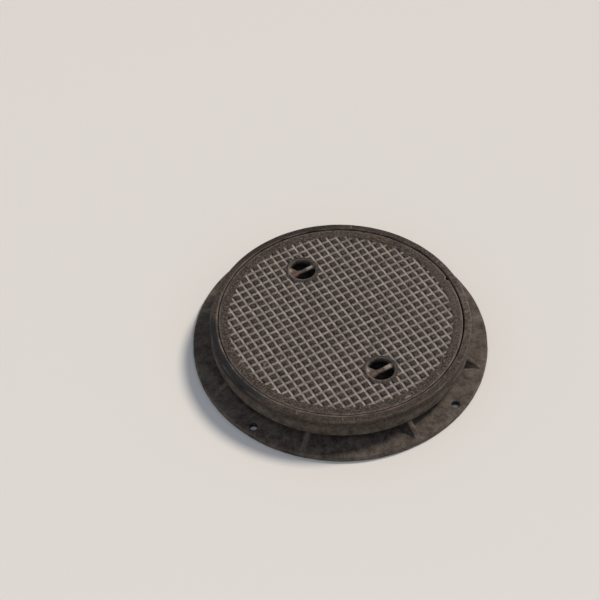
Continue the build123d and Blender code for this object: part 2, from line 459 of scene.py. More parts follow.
def frame_iron():
    """Sand-cast grey iron of the frame: brown-grey, rusty where it was buried, with a cement haze and painted
    shade over its -X side.
    """
    material, tree = begin_material("frame_iron_sand_cast")
    blotches = mottle(tree, 9.0, 0.36, 0.66, rough=0.75)
    skin = laid_over(tree, "#191411", "#463b34", blotches)
    skin = laid_over(tree, skin, "#452b20", mottle(tree, 38.0, 0.52, 0.70, most=0.6))
    skin = laid_over(tree, skin, "#6b5f56", mottle(tree, 3.8, 0.50, 0.66, most=0.6, detail=2.0, rough=0.8))
    # Painted shade: a bluish dark over the frame's -X side. Then darker towards +Y, and paler towards +X.
    skin = laid_over(tree, skin, "#141517", streak(tree, (-335, 60), 90, (560, 120), full=0.45, most=0.95))
    skin = laid_over(tree, skin, "#141312", streak(tree, (60, 335), 0, (620, 120), full=0.45, most=0.45))
    skin = laid_over(tree, skin, "#73665b", streak(tree, (340, -150), -60, (800, 440)), blotches)
    scratches = []
    for angle in FRAME_SCRATCH_ANGLES:
        turn = math.radians(angle)
        place = FRAME_SCRATCH_R_MM * math.cos(turn), FRAME_SCRATCH_R_MM * math.sin(turn)
        scratches.append(streak(tree, place, angle + 6, (19, 5), full=0.8, most=0.6))
    broken = mottle(tree, 5.0, 0.30, 0.62, least=0.25, detail=4.0)
    skin = worn(tree, skin, "#8c8179", broken, scratches)
    skin = laid_over(tree, skin, "#7d766d", "cement", mottle(tree, 30.0, 0.30, 0.76, detail=6.0))
    dull = node(tree, "ShaderNodeMapRange", EASED, levels(blotches, 0.0, 1.0, 0.66, 0.86)).outputs["Result"]
    finish_material(tree, {"Base Color": skin, "Roughness": dull, "Specular IOR Level": 0.3,
                           "Normal": sand_cast_relief(tree, 0.8)})
    return material


def rolled_bar_steel():
    """Hot-rolled round bar: rusty mill scale, a little rubbed along the top by hooks, with painted highlights
    on the shelf at its -X end and on the top of its +X end.
    """
    material, tree = begin_material("bar_steel_hot_rolled")
    blotches = mottle(tree, 6.0, 0.35, 0.65)
    skin = laid_over(tree, "#2b221d", "#4a3d35", blotches)
    skin = laid_over(tree, skin, "#4d2c20", "rust", blotches)
    skin = worn(tree, skin, "#b0a399", mottle(tree, 3.0, 0.32, 0.6, least=0.45, detail=4.0))
    finish_material(tree, {"Base Color": skin, "Metallic": 0.2, "Roughness": 0.6, "Specular IOR Level": 0.35,
                           "Normal": sand_cast_relief(tree, 0.5)})
    return material


def pressed_cup_steel():
    """Pressed galvanised steel of the cups: dull zinc, darkened, with silt caked on the floor."""
    material, tree = begin_material("cup_steel_pressed_galvanised")
    skin = laid_over(tree, "#2b3038", "#454b54", mottle(tree, 8.0, 0.35, 0.65, detail=3.0, rough=0.6))
    silt = laid_over(tree, "#2f2925", "#5d534a", mottle(tree, 3.0, 0.3, 0.7))
    skin = laid_over(tree, skin, silt, "silt")
    finish_material(tree, {"Base Color": skin, "Metallic": 0.3, "Roughness": 0.6,
                           "Normal": sand_cast_relief(tree, 0.35)})
    return material


def moulded_rubber():
    """Neoprene of the cushion ring and the seals, moulded: matt black with dust in its skin."""
    material, tree = begin_material("neoprene_moulded")
    skin = laid_over(tree, "#151413", "#3c3833", mottle(tree, 12.0, 0.45, 0.75, most=0.6))
    relief = bumps(tree, (speckle(tree, 0.8, 3.0, 0.6), 0.1, 0.5))
    finish_material(tree, {"Base Color": skin, "Roughness": 0.8, "Normal": relief})
    return material


def zinc_screw():
    """Zinc-plated steel of the screws, cold headed: grey, cloudy, with rust starting at the edges."""
    material, tree = begin_material("screw_steel_zinc_plated")
    skin = laid_over(tree, "#6f6e6a", "#8f8d88", mottle(tree, 2.5, 0.35, 0.65, detail=4.0, rough=0.6))
    skin = laid_over(tree, skin, "#6b4630", mottle(tree, 5.0, 0.55, 0.7, most=0.8))
    relief = bumps(tree, (speckle(tree, 0.7, 3.0, 0.6), 0.08, 0.5))
    finish_material(tree, {"Base Color": skin, "Metallic": 0.7, "Roughness": 0.5, "Normal": relief})
    return material


def studio_floor_paint():
    """The studio floor's matt pale paint."""
    material, tree = begin_material("floor_paint_matt")
    finish_material(tree, {"Base Color": linear("#e9e7e3"), "Roughness": 0.9})
    return material


# ---- the cover --------------------------------------------------------------------------------------
# A groove's section: distance from its middle, and its depth there as a share of the full depth.
GROOVE_SECTION = np.array([(0.0, 1.0), (3.1, 0.97), (4.0, 0.72), (5.1, 0.20), (5.9, 0.0)]) * [MM, 1]
PAD_STEPS = np.array([9.6, 14.4]) * MM    # further lines across a pad, from the groove's middle
GROOVES_EACH_WAY = int(TREAD_R // GROOVE_PITCH)
KEEP_R = 307 * MM         # the square mesh of the tread ends here
JOIN_R = 311 * MM         # and the round mesh of the margin starts here
POCKET_KEEP_R = 41 * MM
POCKET_EDGE = 5.2 * MM    # rounding of a pocket's rim
POCKET_RIM_R = POCKET_R + POCKET_EDGE + 0.4 * MM
PAD_FOOT_R = PAD_R + 2 * MM
SKIN_TOP = COVER_TOP - 0.25 * MM    # mean level of the upper skin, with room left for its unevenness
SKIN_UNEVEN = 0.12 * MM
CHIP_COUNT = 170

margin_unevenness = waves(5, 24, 60 * MM, 260 * MM)


def pocket_distance(x, y):
    """Distance from the nearer pocket's axis."""
    return np.minimum.reduce([np.hypot(x, y - p) for p in POCKETS.values()])


def groove_share(x, y):
    """Depth share at a place: the deeper of two crossing grooves, ended at the tread's circle and lands."""
    share = 0
    for u in (x, y):
        line = np.clip(np.round(u / GROOVE_PITCH), -GROOVES_EACH_WAY, GROOVES_EACH_WAY)
        away = np.abs(u - line * GROOVE_PITCH)
        share = np.maximum(share, np.interp(away, *GROOVE_SECTION.T))
    ends = smooth((TREAD_R + 1 * MM - np.hypot(x, y)) / (2.5 * MM))
    lands = smooth((pocket_distance(x, y) - LAND_R + 1 * MM) / (2.5 * MM))
    return share * ends * lands


def pad_lift(x, y):
    """Each whole square pad is cast and worn a little high or low, and slightly out of level."""
    count = 2 * GROOVES_EACH_WAY + 4
    column = np.floor(x / GROOVE_PITCH).astype(int)
    row = np.floor(y / GROOVE_PITCH).astype(int)
    level, slope_x, slope_y = rng.uniform(-1, 1, (3, count, count))
    i, j = column + count // 2, row + count // 2
    u = x / GROOVE_PITCH - column - 0.5
    v = y / GROOVE_PITCH - row - 0.5
    lift = 0.22 * level[i, j] + 0.25 * (slope_x[i, j] * u + slope_y[i, j] * v) - 0.12
    corner = np.hypot(np.abs(column + 0.5) + 0.5, np.abs(row + 0.5) + 0.5) * GROOVE_PITCH
    middle_x, middle_y = (column + 0.5) * GROOVE_PITCH, (row + 0.5) * GROOVE_PITCH
    whole = (corner < TREAD_R) & (pocket_distance(middle_x, middle_y) > LAND_R + 0.72 * GROOVE_PITCH)
    return np.where(whole, lift, 0) * MM


def tread_chips():
    """Places, sizes and depths of the chips knocked out of the pads' edges."""
    count = CHIP_COUNT
    line = rng.integers(-GROOVES_EACH_WAY, GROOVES_EACH_WAY + 1, count) * GROOVE_PITCH
    side = rng.choice([-1, 1], count) * 5 * MM
    along = rng.uniform(-TREAD_R, TREAD_R, count)
    across = line + side
    swap = rng.random(count) < 0.5
    centres = np.stack([np.where(swap, along, across), np.where(swap, across, along)], 1)
    return centres, rng.uniform(1.6, 3.6, count) * MM, rng.uniform(0.4, 1.5, count) * MM


def tread_surface():
    """
    The tread as a mesh of crossing lines, close together where a groove's section bends. Its height is
    the cover's top less the groove's depth, with each pad's own lift, chips and a slow unevenness.
    """
    bends = GROOVE_SECTION[1:, 0]
    steps = np.concatenate([-bends[::-1], [0], bends, PAD_STEPS])
    middles = np.arange(-GROOVES_EACH_WAY - 1, GROOVES_EACH_WAY + 2) * GROOVE_PITCH
    lines = (middles[:, None] + steps).reshape(-1)
    lines = np.sort(lines[np.abs(lines) < KEEP_R])
    x, y = np.meshgrid(lines, lines, indexing="ij")
    inside = (np.hypot(x, y) < KEEP_R) & (pocket_distance(x, y) > POCKET_KEEP_R)
    cell = inside[:-1, :-1] & inside[1:, :-1] & inside[1:, 1:] & inside[:-1, 1:]
    index = np.arange(x.size).reshape(x.shape)
    quads = np.stack([index[:-1, :-1], index[1:, :-1], index[1:, 1:], index[:-1, 1:]], -1)[cell]
    share = groove_share(x, y)
    flat = np.stack([x.reshape(-1), y.reshape(-1)], 1)
    bite = dents(flat, *tread_chips()).reshape(x.shape) * (share < 0.5)
    z = SKIN_TOP - GROOVE_DEPTH * share + (1 - share) * pad_lift(x, y) - bite
    z += SKIN_UNEVEN * margin_unevenness(x, y)
    edges = outline_of_cells(cell, index)
    return x, y, z, share, quads, lines, cell, edges


def outline_of_cells(cell, index):
    """Index pairs of the mesh lines that have a kept cell on one side only."""
    padded = np.pad(cell, 1)
    lower = padded[1:-1, :-1] != padded[1:-1, 1:]
    left = padded[:-1, 1:-1] != padded[1:, 1:-1]
    along_x = np.stack([index[:-1, :], index[1:, :]], -1)[lower]
    along_y = np.stack([index[:, :-1], index[:, 1:]], -1)[left]
    return np.concatenate([along_x, along_y])


def fill_to_circle(x, y, z, edges, near, circle, keep, base):
    """Fills between the square mesh's stepped outline and a circle, with the outline's own heights."""
    chosen = edges[near(x.reshape(-1)[edges].mean(1), y.reshape(-1)[edges].mean(1))]
    ids, local = np.unique(chosen, return_inverse=True)
    flat = np.concatenate([np.stack([x.reshape(-1)[ids], y.reshape(-1)[ids]], 1), circle])
    links = np.concatenate([local.reshape(-1, 2), loop_edges(len(ids), len(circle))])
    points, triangles = filled_between(flat, links, keep, 0)
    points[:, 2] = np.concatenate([z.reshape(-1)[ids], base])
    return points, triangles


def cover_angles():
    """Even steps round the cover, closer together at the nick."""
    even = even_angles(ROUND_STEPS)
    close = NICK_ANGLE % TURN + np.linspace(-1, 1, 25) * 1.4 * NICK_HALF / COVER_R
    even = even[np.abs(even - NICK_ANGLE % TURN) > 1.5 * NICK_HALF / COVER_R]
    return np.sort(np.concatenate([even, close]))


def cover_shell():
    """
    The cover's outer skin: margin, rounded edge, rim, web and the plate's underside as one profile of
    (radius, height) rows carried round the axis, pulled inwards at the nick.
    """
    angles = cover_angles()
    r, top = COVER_R, SKIN_TOP
    rows = [(JOIN_R, top), (JOIN_R + 4 * MM, top), (JOIN_R + 8 * MM, top), (JOIN_R + 11 * MM, top)]
    rows += round_corner((r - 3.2 * MM, top), (r, top), (r, top - 3.2 * MM), 5)
    rows += [(r - 0.1 * MM, top - 9 * MM), (r - 0.3 * MM, top - NICK_DEPTH)]
    rows += [(r - 0.5 * MM, RIM_UNDER + 12 * MM)]
    rows += round_corner((r - 0.7 * MM, RIM_UNDER + 3 * MM), (r - 0.7 * MM, RIM_UNDER),
                         (r - 4 * MM, RIM_UNDER), 3)
    rows += [(r - 15 * MM, RIM_UNDER)]
    rows += round_corner((WEB_R + 3 * MM, RIM_UNDER), (WEB_R, RIM_UNDER), (WEB_R, RIM_UNDER - 3 * MM), 3)
    rows += round_corner((WEB_R - 0.6 * MM, WEB_UNDER + 3 * MM), (WEB_R - 0.8 * MM, WEB_UNDER),
                         (WEB_R - 4 * MM, WEB_UNDER), 3)
    inner = WEB_R - WEB_THICK
    rows += round_corner((inner + 3 * MM, WEB_UNDER), (inner + 0.4 * MM, WEB_UNDER),
                         (inner + 0.2 * MM, WEB_UNDER + 3 * MM), 3)
    rows += round_corner((inner, PLATE_UNDER - 5 * MM), (inner, PLATE_UNDER),
                         (inner - 5 * MM, PLATE_UNDER), 4)
    points, faces = turned(rows, angles, backwards=True)
    count = len(angles)
    row = np.repeat(np.arange(len(rows)), count)
    angle = np.tile(angles, len(rows))
    from_nick = np.abs((angle - NICK_ANGLE + math.pi) % TURN - math.pi) * COVER_R
    pull = smooth(1 - from_nick / NICK_HALF) * NICK_IN
    reach = smooth((np.hypot(*points[:, :2].T) - COVER_R + 14 * MM) / (11 * MM))
    pull *= reach * smooth((points[:, 2] - top + NICK_DEPTH) / (5 * MM))
    points[:, :2] *= 1 - (pull / np.hypot(*points[:, :2].T))[:, None]
    uneven = margin_unevenness(*points[:, :2].T)
    upper = points[:, 2] > top - 4 * MM
    points[upper, 2] += SKIN_UNEVEN * uneven[upper]
    wear = np.interp(row, [2, 4, 6, 9, 10], [0, 0.35, 0.9, 0.35, 0])
    ripple = waves(11, 20, 25 * MM, 120 * MM)(*points[:, :2].T)
    wear = wear * np.clip(0.65 + 0.45 * ripple, 0.1, 1)
    return angles, rows, patch(points, [faces], wear=wear)


def pocket_wall(centre_y):
    """A pocket's rounded rim and wall, the pad's face and side below, carried round the pocket's own axis."""
    angles = even_angles(HOLE_STEPS)
    top = SKIN_TOP
    rows = [(POCKET_RIM_R, top)]
    rows += round_corner((POCKET_R + POCKET_EDGE, top), (POCKET_R, top), (POCKET_R, top - 7 * MM), 6)
    rows += [(POCKET_R + 0.15 * MM, top - 11 * MM), (POCKET_R, top - 18 * MM), (POCKET_R, PAD_UNDER)]
    rows += [(PAD_R - 1.5 * MM, PAD_UNDER), (PAD_R, PAD_UNDER + 1.5 * MM), (PAD_R, PLATE_UNDER - 2 * MM),
             (PAD_FOOT_R, PLATE_UNDER)]
    points, faces = turned(rows, angles, (0, centre_y))
    row = np.repeat(np.arange(len(rows)), HOLE_STEPS)
    top_rows = row < 3
    points[top_rows, 2] += SKIN_UNEVEN * margin_unevenness(points[top_rows, 0], points[top_rows, 1])
    # A rubbed rim all round, and a painted highlight on the wall's -X side, which faces the light.
    wear = np.interp(row, [0, 1, 3, 7, 8], [0, 0.6, 1, 1, 0.15]) * (row < 9)
    wear *= 0.3 + 0.7 * np.clip(np.cos(np.tile(angles, len(rows)) - math.radians(205)), 0, 1)
    # Painted shade deep down the pocket's wall and under the pad; the land and rim above take only a darker
    # tone.
    damp = np.interp(row, [8, 9], [0.22, 0.9])
    return patch(points, [faces], wear=wear, damp=damp)


def stiffener(turns):
    """A straight web under the plate: a tapered section with rounded toes carried along the web's length."""
    half_length = math.sqrt((WEB_R - WEB_THICK / 2) ** 2 - STIFFENER_OFFSET ** 2)
    low = PLATE_UNDER - STIFFENER_DEPTH
    side = [(STIFFENER_HALF + 4 * MM, PLATE_UNDER + 1 * MM)]
    side += round_corner((STIFFENER_HALF + 3 * MM, PLATE_UNDER), (STIFFENER_HALF, PLATE_UNDER),
                         (STIFFENER_HALF - 0.2 * MM, PLATE_UNDER - 4 * MM), 3)
    side += round_corner((STIFFENER_HALF - 1.2 * MM, low + 2.5 * MM), (STIFFENER_HALF - 1.3 * MM, low),
                         (STIFFENER_HALF - 4 * MM, low), 3)
    section = np.array(side + [(-u, v) for u, v in side[::-1]])
    along = np.linspace(-half_length, half_length, 60)
    points = np.zeros((len(along), len(section), 3))
    points[..., 0] = along[:, None]
    points[..., 1] = STIFFENER_OFFSET + section[:, 0]
    points[..., 2] = section[:, 1]
    points = points.reshape(-1, 3)
    count = len(section)
    faces = [grid_faces(len(along), count, True)] + end_caps(len(along), count)
    for _ in range(turns):
        points = points[:, [1, 0, 2]] * [-1, 1, 1]
    return patch(points, [face[:, ::-1] for face in faces])


def tread_grit(x, y, share):
    """Pale grit on the groove floors, in patches, thinner along X, and thinned on the +X side of grooves
    along Y to paint the shadow of the pads' edges there.
    """
    floor = smooth((share - 0.66) / 0.28)
    line = np.round(x / GROOVE_PITCH)
    away = (x - line * GROOVE_PITCH) / MM
    along_y = (np.abs(away) < 4.5) & (np.abs(line) <= GROOVES_EACH_WAY)
    # Painted shadow: less grit on the +X side of the grooves along Y, where the pads' edges cast shade.
    painted_shadow_thinning = np.where(along_y, 1 - 0.8 * smooth((away - 1.0) / 2.2), 1)
    # Less grit in the grooves along X.
    less_along_x = np.where(np.abs(away) < 4.5, 1.0, 0.70)
    amount = np.clip(0.86 + 0.22 * waves(17, 40, 18 * MM, 110 * MM)(x, y), 0.3, 1)
    return floor * painted_shadow_thinning * less_along_x * amount


def cover_piece(material):
    """The cover's casting as one welded skin: tread, margin, edges, pockets, underside and stiffeners."""
    x, y, z, share, quads, lines, cell, edges = tread_surface()
    grit = tread_grit(x, y, share)
    rim = smooth(share / 0.03) * smooth((0.5 - share) / 0.4)
    wear = rim * np.clip(0.18 + 0.35 * waves(23, 30, 20 * MM, 150 * MM)(x, y), 0, 0.7)
    flat_points = np.stack([x, y, z], -1).reshape(-1, 3)
    # A darker tone round the pockets and on the pad tops, on the mark that also carries the pockets' painted
    # shade.
    damp = 0.22 * smooth((LAND_R + 1 * MM - pocket_distance(x, y)) / (3 * MM))
    on_tread = (np.hypot(x, y) < TREAD_R) & (pocket_distance(x, y) > LAND_R)
    damp += 0.17 * (1 - smooth(share / 0.3)) * on_tread
    marks = {"grit": grit.reshape(-1), "wear": wear.reshape(-1), "damp": damp.reshape(-1)}
    patches = [patch(flat_points, [quads], **marks)]

    angles, rows, shell = cover_shell()
    patches.append(shell)
    join = shell["points"][:len(angles)]

    def in_cell(centres):
        i = np.clip(np.searchsorted(lines, centres[:, 0]) - 1, 0, len(lines) - 2)
        j = np.clip(np.searchsorted(lines, centres[:, 1]) - 1, 0, len(lines) - 2)
        return cell[i, j] & (np.abs(centres) < lines[-1]).all(1)

    points, triangles = fill_to_circle(
        x, y, z, edges, lambda u, v: np.hypot(u, v) > 0.9 * TREAD_R, join[:, :2],
        lambda c: ~in_cell(c) & (np.hypot(*c.T) > 0.95 * TREAD_R), join[:, 2])
    patches.append(patch(points, [triangles]))

    underside = [circle_points(rows[-1][0], angles)]
    links = [loop_edges(0, len(angles))]
    count = len(angles)
    near_r = 1.3 * POCKET_KEEP_R
    for centre in POCKETS.values():
        wall = pocket_wall(centre)
        patches.append(wall)
        rim_ring, pad_ring = wall["points"][:HOLE_STEPS], wall["points"][-HOLE_STEPS:]
        points, triangles = fill_to_circle(
            x, y, z, edges, lambda u, v: np.hypot(u, v - centre) < near_r, rim_ring[:, :2],
            lambda c: ~in_cell(c) & (np.hypot(c[:, 0], c[:, 1] - centre) > HOLE_CHORD * POCKET_RIM_R)
            & (np.hypot(c[:, 0], c[:, 1] - centre) < near_r), rim_ring[:, 2])
        patches.append(patch(points, [triangles]))
        underside.append(pad_ring[:, :2])
        links.append(loop_edges(count, HOLE_STEPS))
        count += HOLE_STEPS
    points, triangles = filled_between(
        np.concatenate(underside), np.concatenate(links),
        lambda c: pocket_distance(*c.T) > HOLE_CHORD * PAD_FOOT_R, PLATE_UNDER, up=False)
    patches.append(patch(points, [triangles]))
    patches += [stiffener(i) for i in range(4)]
    return add_piece("cover_casting", joined(patches), material, "cover", ["cover"])


# ---- inserts of the cover ---------------------------------------------------------------------------
def bar_piece(name, centre_y, material, seed, waist):
    """
    A round bar along X: an ellipse carried along its length, hollowed on top where hooks pull. Its width
    grows into a short root at the +X end, and at the -X end into one with a broad shelf on the +Y side.
    """
    steps, count = 110, 48
    along = np.linspace(-BAR_HALF, BAR_HALF, steps)
    angle = even_angles(count)
    u, a = np.meshgrid(along, angle, indexing="ij")
    fan = smooth((-u - 6 * MM) / (30 * MM))
    shelf = smooth((-u - 9 * MM) / (20 * MM)) * smooth(np.cos(a) / 0.6)
    root = smooth((u - 26 * MM) / (10 * MM))
    rough = 0.35 * MM * waves(seed, 24, 9 * MM, 40 * MM)(u, a * BAR_R)
    rubbed = 1.4 * MM * smooth(1 - np.abs(u - 4 * MM) / (24 * MM)) * smooth(np.sin(a))
    radius = BAR_R - 0.4 * MM - waist * (1 - np.maximum(fan, root)) + rough - rubbed
    width = radius + 6 * MM * fan + 2.5 * MM * root + 17 * MM * shelf
    lift = np.sign(np.sin(a)) * np.abs(np.sin(a)) ** (1 - 0.8 * shelf)
    z = np.minimum(BAR_Z + radius * lift, COVER_TOP - (1 + 3 * shelf) * MM)
    points = np.stack([u, centre_y + width * np.cos(a), z], -1).reshape(-1, 3)
    # Pale marks: a little rubbing along the top, and painted highlights on the shelf by the -X wall and on
    # the top of the +X end.
    top = smooth((np.sin(a) - 0.35) / 0.45)
    shelf_highlight = smooth(shelf / 0.5) * smooth((np.cos(a) - 0.15) / 0.4)
    end = top * smooth((u - 6 * MM) / (10 * MM)) * smooth((33 * MM - u) / (5 * MM))
    by_wall = 0.25 + 0.75 * smooth((-u - 23 * MM) / (6 * MM))
    wear = np.maximum.reduce([0.1 * top, shelf_highlight * by_wall, 0.75 * end]).reshape(-1)
    rust = (top * smooth(-u / (14 * MM)) * (1 - shelf_highlight)).reshape(-1)
    faces = [grid_faces(steps, count, True)] + end_caps(steps, count)
    whole = patch(points, faces, wear=wear, rust=rust)
    return add_piece("bar_" + name, whole, material, "cover", ["lifting_bar_" + name])


def cup_piece(name, centre_y, material, seed):
    """A pressed cup: one closed profile round the pocket's axis, its floor raised by caked silt."""
    wall = 4 * MM
    outer = POCKET_R + wall
    floor = CUP_UNDER + wall
    flange_under = CUP_TOP - 5 * MM
    rows = [(0.5 * MM, CUP_UNDER), (outer * 0.5, CUP_UNDER)]
    rows += round_corner((outer - 6 * MM, CUP_UNDER), (outer, CUP_UNDER), (outer, CUP_UNDER + 6 * MM), 4)
    rows += round_corner((outer, flange_under - 2 * MM), (outer, flange_under),
                         (outer + 2 * MM, flange_under), 2)
    rows += round_corner((CUP_FLANGE_R - 1 * MM, flange_under), (CUP_FLANGE_R, flange_under),
                         (CUP_FLANGE_R, flange_under + 1 * MM), 2)
    rows += round_corner((CUP_FLANGE_R, CUP_TOP - 1 * MM), (CUP_FLANGE_R, CUP_TOP),
                         (CUP_FLANGE_R - 1 * MM, CUP_TOP), 2)
    rows += [(POCKET_R + 0.6 * MM, CUP_TOP), (POCKET_R, CUP_TOP - 0.6 * MM)]
    wall_end = len(rows) - 1
    inner = round_corner((POCKET_R, floor + 10 * MM), (POCKET_R, floor), (POCKET_R - 4 * MM, floor), 4)
    rows += inner + [(r * MM, floor) for r in np.linspace(29, 1, 15)] + [(0.5 * MM, floor)]
    angles = even_angles(CUP_STEPS)
    points, faces = turned(rows, angles, (0, centre_y))
    row = np.repeat(np.arange(len(rows)), len(angles))
    x, y = points[:, 0], points[:, 1] - centre_y
    inside = (row > wall_end).astype(float)
    bed = smooth((POCKET_R + 1 * MM - np.hypot(x, y)) / (10 * MM)) * inside
    heap = 3.5 * MM + 2.2 * MM * waves(seed, 26, 7 * MM, 45 * MM)(x, y)
    heap += 0.9 * MM * waves(seed + 1, 26, 3 * MM, 8 * MM)(x, y)
    stones = rng.uniform(-22, 22, (14, 2)) * MM
    sizes, heights = rng.uniform(2.0, 4.5, 14) * MM, rng.uniform(1.5, 3.5, 14) * MM
    heap += dents(np.stack([x, y], 1), stones, sizes, heights)
    points[:, 2] += np.maximum(heap, 0.4 * MM) * bed
    silt = np.clip(bed + 0.6 * inside * smooth(1 - (points[:, 2] - floor) / (16 * MM)), 0, 1)
    whole = patch(points, [faces] + end_caps(len(rows), CUP_STEPS), silt=silt)
    return add_piece("cup_" + name, whole, material, "cover", ["pocket_cup_" + name])


# ---- the frame --------------------------------------------------------------------------------------
BURIED_CEMENT = 0.6       # how thick the cement haze is on what was under the road


def frame_profiles():
    """(radius, height) rows of the frame's wall, from the flange's upper face round to its lower face."""
    ledge = SEAT_Z - LEDGE_THICK
    flange_top = round_corner((BARREL_R + 5 * MM, FLANGE_THICK), (BARREL_R, FLANGE_THICK),
                              (BARREL_R, FLANGE_THICK + 5 * MM), 4)
    undercut = ledge - UNDERCUT_RISE
    outer = flange_top + round_corner((BARREL_R, undercut - 3 * MM), (BARREL_R, undercut),
                                      (BARREL_R + 3 * MM, undercut + 1.2 * MM), 3)
    outer += round_corner((FRAME_R - 6 * MM, ledge - 2.4 * MM), (FRAME_R, ledge),
                          (FRAME_R, ledge + 5 * MM), 4)
    outer += [(FRAME_R, h * MM) for h in (52, 60, 68, 76, 84, 91)]
    outer += round_corner((FRAME_R, FRAME_TOP - 5 * MM), (FRAME_R, FRAME_TOP),
                          (FRAME_R - 5 * MM, FRAME_TOP), 6)
    outer += [(r * MM, FRAME_TOP) for r in (342, 339, 336)]
    outer += round_corner((RECESS_R + 3 * MM, FRAME_TOP), (RECESS_R + 0.3 * MM, FRAME_TOP),
                          (RECESS_R + 0.3 * MM, FRAME_TOP - 3 * MM), 5)
    outer += [(RECESS_R + 0.2 * MM, h * MM) for h in (90, 80, 70)]
    outer += round_corner((RECESS_R, SEAT_Z + 2 * MM), (RECESS_R, SEAT_Z), (RECESS_R - 2 * MM, SEAT_Z), 2)
    outer += round_corner((CLEAR_R + 1.5 * MM, SEAT_Z), (CLEAR_R, SEAT_Z), (CLEAR_R, SEAT_Z - 1.5 * MM), 3)
    outer += [(CLEAR_R, h * MM) for h in (48, 36, 24, 12)]
    outer += round_corner((CLEAR_R, 1.5 * MM), (CLEAR_R, 0), (CLEAR_R + 1.5 * MM, 0), 3)
    edge = round_corner((FLANGE_R - 1.5 * MM, 0), (FLANGE_R, 0), (FLANGE_R, 1.5 * MM), 3)
    edge += round_corner((FLANGE_R, FLANGE_THICK - 4 * MM), (FLANGE_R, FLANGE_THICK),
                         (FLANGE_R - 4 * MM, FLANGE_THICK), 4)
    return outer, edge


def roughened(points, amount, seed):
    """
    Moves points inwards along their radius by a slow random unevenness that depends on angle and height. The
    first and last rings stay round, because flat faces start there.
    """
    angle = np.arctan2(points[:, 1], points[:, 0])
    lumps = waves(seed, 30, 18 * MM, 160 * MM)(angle * FRAME_R, points[:, 2] * 1.7)
    inwards = amount * np.clip(0.5 + 0.5 * lumps, 0.02, 1)
    inwards[:ROUND_STEPS] = inwards[-ROUND_STEPS:] = 0
    points[:, :2] *= 1 - (inwards / np.hypot(*points[:, :2].T))[:, None]
    return points


def worn_recess(points, angle):
    """Opens the top of the recess on the side where covers were levered out, and closes it opposite."""
    radius = np.hypot(*points[:, :2].T)
    here = smooth((points[:, 2] - SEAT_Z - 4 * MM) / (20 * MM))
    here *= smooth(1 - np.abs(radius - RECESS_R - 1 * MM) / (6 * MM))
    shift = 1.5 * MM * np.cos(angle - math.radians(15)) - 0.2 * MM
    points[:, :2] *= (1 + here * shift / radius)[:, None]
    return points


def anchor_places():
    """The middles of the anchor holes, evenly spaced on their circle."""
    for i in range(anchor["dims"]["count"]):
        angle = ANCHOR_FIRST + TURN / anchor["dims"]["count"] * i
        yield ANCHOR_R * math.cos(angle), ANCHOR_R * math.sin(angle)


def flange_face(outer_ring, inner_ring, height, up, hole_r):
    """A flat face of the flange between two circles, with the anchor holes left out."""
    round_hole = even_angles(ANCHOR_STEPS)
    holes = [circle_points(hole_r, round_hole, place) for place in anchor_places()]
    outlines = [outer_ring, inner_ring] + holes
    firsts = np.cumsum([0] + [len(o) for o in outlines])
    links = np.concatenate([loop_edges(f, len(o)) for f, o in zip(firsts, outlines)])
    inner_r = np.hypot(*inner_ring[0])

    def iron(centres):
        clear = np.min([np.hypot(centres[:, 0] - x, centres[:, 1] - y) for x, y in anchor_places()], 0)
        return (np.hypot(*centres.T) > inner_r * LARGE_RING_CHORD) & (clear > hole_r * ANCHOR_CHORD)

    return filled_between(np.concatenate(outlines), links, iron, height, up)


def anchor_hole(place):
    """The wall of an anchor hole, with a small round at its upper edge."""
    rows = [(ANCHOR_HOLE_R + 1.2 * MM, FLANGE_THICK)]
    rows += [(ANCHOR_HOLE_R + 0.35 * MM, FLANGE_THICK - 0.35 * MM), (ANCHOR_HOLE_R, FLANGE_THICK - 1.2 * MM)]
    rows += [(ANCHOR_HOLE_R, 0)]
    points, faces = turned(rows, even_angles(ANCHOR_STEPS), place)
    return patch(points, [faces])


def gusset(angle):
    """
    An upright rib between flange and barrel: a section with a rounded nose, carried upwards while its
    nose draws in from the flange's edge to the ledge, and flared where it meets the flange.
    """
    low, high = FLANGE_THICK - 0.5 * MM, SEAT_Z - LEDGE_THICK + 1 * MM
    height = low + (high - low) * np.array([0, 0.06, 0.14, 0.25, 0.4, 0.6, 0.8, 1.0])
    share = (height - low) / (high - low)
    nose_r = GUSSET_FOOT_R + (FRAME_R - 3 * MM - GUSSET_FOOT_R) * share
    flare = 3.5 * MM * (1 - smooth(share / 0.25))
    half = GUSSET_HALF - 1 * MM * share + flare
    arc = np.linspace(-math.pi / 2, math.pi / 2, 11)
    inner_r = BARREL_R - 6 * MM
    count = len(arc) + 2
    points = np.zeros((len(height), count, 3))
    for k, sign in ((0, -1), (count - 1, 1)):
        points[:, k, 0] = inner_r
        points[:, k, 1] = sign * half
    points[:, 1:-1, 0] = (nose_r + flare)[:, None] - 4 * MM + 4 * MM * np.cos(arc)
    points[:, 1:-1, 1] = half[:, None] * np.sign(np.sin(arc)) * np.abs(np.sin(arc)) ** 0.6
    points[..., 2] = height[:, None]
    points = points.reshape(-1, 3)
    c, s = math.cos(angle), math.sin(angle)
    x, y, z = points.T
    points = np.stack([c * x - s * y, s * x + c * y, z], 1)
    return patch(points, [grid_faces(len(height), count, True)] + end_caps(len(height), count))


